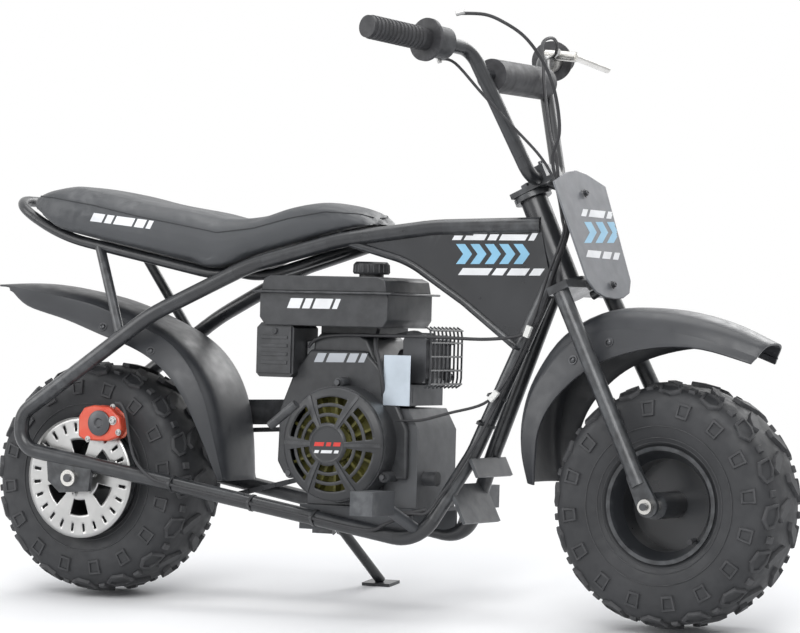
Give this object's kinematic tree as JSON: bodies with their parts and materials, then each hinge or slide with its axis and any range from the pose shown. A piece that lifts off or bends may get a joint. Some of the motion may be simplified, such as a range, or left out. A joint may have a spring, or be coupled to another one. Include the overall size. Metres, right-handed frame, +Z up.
{
  "type": "minibike",
  "caption": "Small off-road minibike with an open tubular frame, fat knobbly tyres, long seat, flat single engine and chain drive, parked on its side stand",
  "frame": {"origin": "on the floor under the middle of the parked bike's box", "axes": "+X forward, +Y to the rider's left, +Z up; the bike leans towards +Y onto its side stand"},
  "size_m": [1.3802, 0.673, 0.9256],
  "materials": {
    "frame_black": "satin",
    "tyre_rubber": "matte",
    "soft_rubber": "matte",
    "vinyl": "soft sheen",
    "black_plastic": "moulded satin",
    "bright_steel": "brushed",
    "cast_aluminium": "cast",
    "red_paint": "gloss",
    "grey_paint": "satin"
  },
  "bodies": {
    "chassis": {"top_rail_right": "frame_black", "top_rail_left": "frame_black", "lower_rail_right": "frame_black", "lower_rail_left": "frame_black", "down_tube_right": "frame_black", "down_tube_left": "frame_black", "head_tube": "frame_black", "side_panel_right": "frame_black", "side_panel_left": "frame_black", "seat_loop": "frame_black", "seat_stay_right": "frame_black", "seat_stay_left": "frame_black", "seat_base": "frame_black", "seat_cushion": "vinyl", "rear_fender": "black_plastic", "axle_plates": "frame_black", "engine_plate": "grey_paint", "cross_plates": "grey_paint", "engine_case": "cast_aluminium", "engine_shroud": "black_plastic", "fan_housing": "black_plastic", "fuel_tank": "black_plastic", "fuel_cap": "black_plastic", "air_box": "black_plastic", "carburettor": "bright_steel", "muffler": "bright_steel", "muffler_guard": "frame_black", "clutch": "frame_black", "oil_plug": "black_plastic", "pull_handle": "black_plastic", "chain": "bright_steel", "chain_guard": "black_plastic", "brake_caliper": "red_paint", "rear_axle": "bright_steel", "foot_peg_right": "grey_paint", "foot_peg_left": "grey_paint", "stand_bracket": "frame_black"},
    "steering": {"top_clamp": "frame_black", "handlebar": "frame_black", "bar_pad": "soft_rubber", "grip_right": "soft_rubber", "grip_left": "soft_rubber", "throttle_housing": "black_plastic", "brake_lever": "bright_steel", "number_plate": "grey_paint", "front_fender": "black_plastic", "fork_crown": "frame_black", "fork_leg_right": "frame_black", "fork_leg_left": "frame_black", "front_axle": "bright_steel"},
    "front_wheel": {"front_tyre": "tyre_rubber", "front_rim": "frame_black"},
    "rear_wheel": {"rear_tyre": "tyre_rubber", "rear_rim": "frame_black", "brake_disc": "bright_steel", "rear_sprocket": "bright_steel"},
    "stand": {"side_stand": "frame_black"}
  },
  "joints": [
    {"name": "steering_head", "type": "hinge", "parent": "chassis", "child": "steering", "pos_m": [0.255, -0.02731, 0.6411], "axis": [-0.4226, 0.1105, 0.8996], "range_deg": [-35, 35]},
    {"name": "front_wheel_axle", "type": "hinge", "parent": "steering", "child": "front_wheel", "pos_m": [0.506, -0.083, 0.1875], "axis": [0, 0.9925, -0.1219], "continuous": true},
    {"name": "rear_wheel_axle", "type": "hinge", "parent": "chassis", "child": "rear_wheel", "pos_m": [-0.487, -0.083, 0.1875], "axis": [0, 0.9925, -0.1219], "continuous": true},
    {"name": "side_stand_pivot", "type": "hinge", "parent": "chassis", "child": "stand", "pos_m": [-0.137, 0.01612, 0.12496], "axis": [0, 0.8035, 0.5952], "range_deg": [0, 100]}
  ]
}
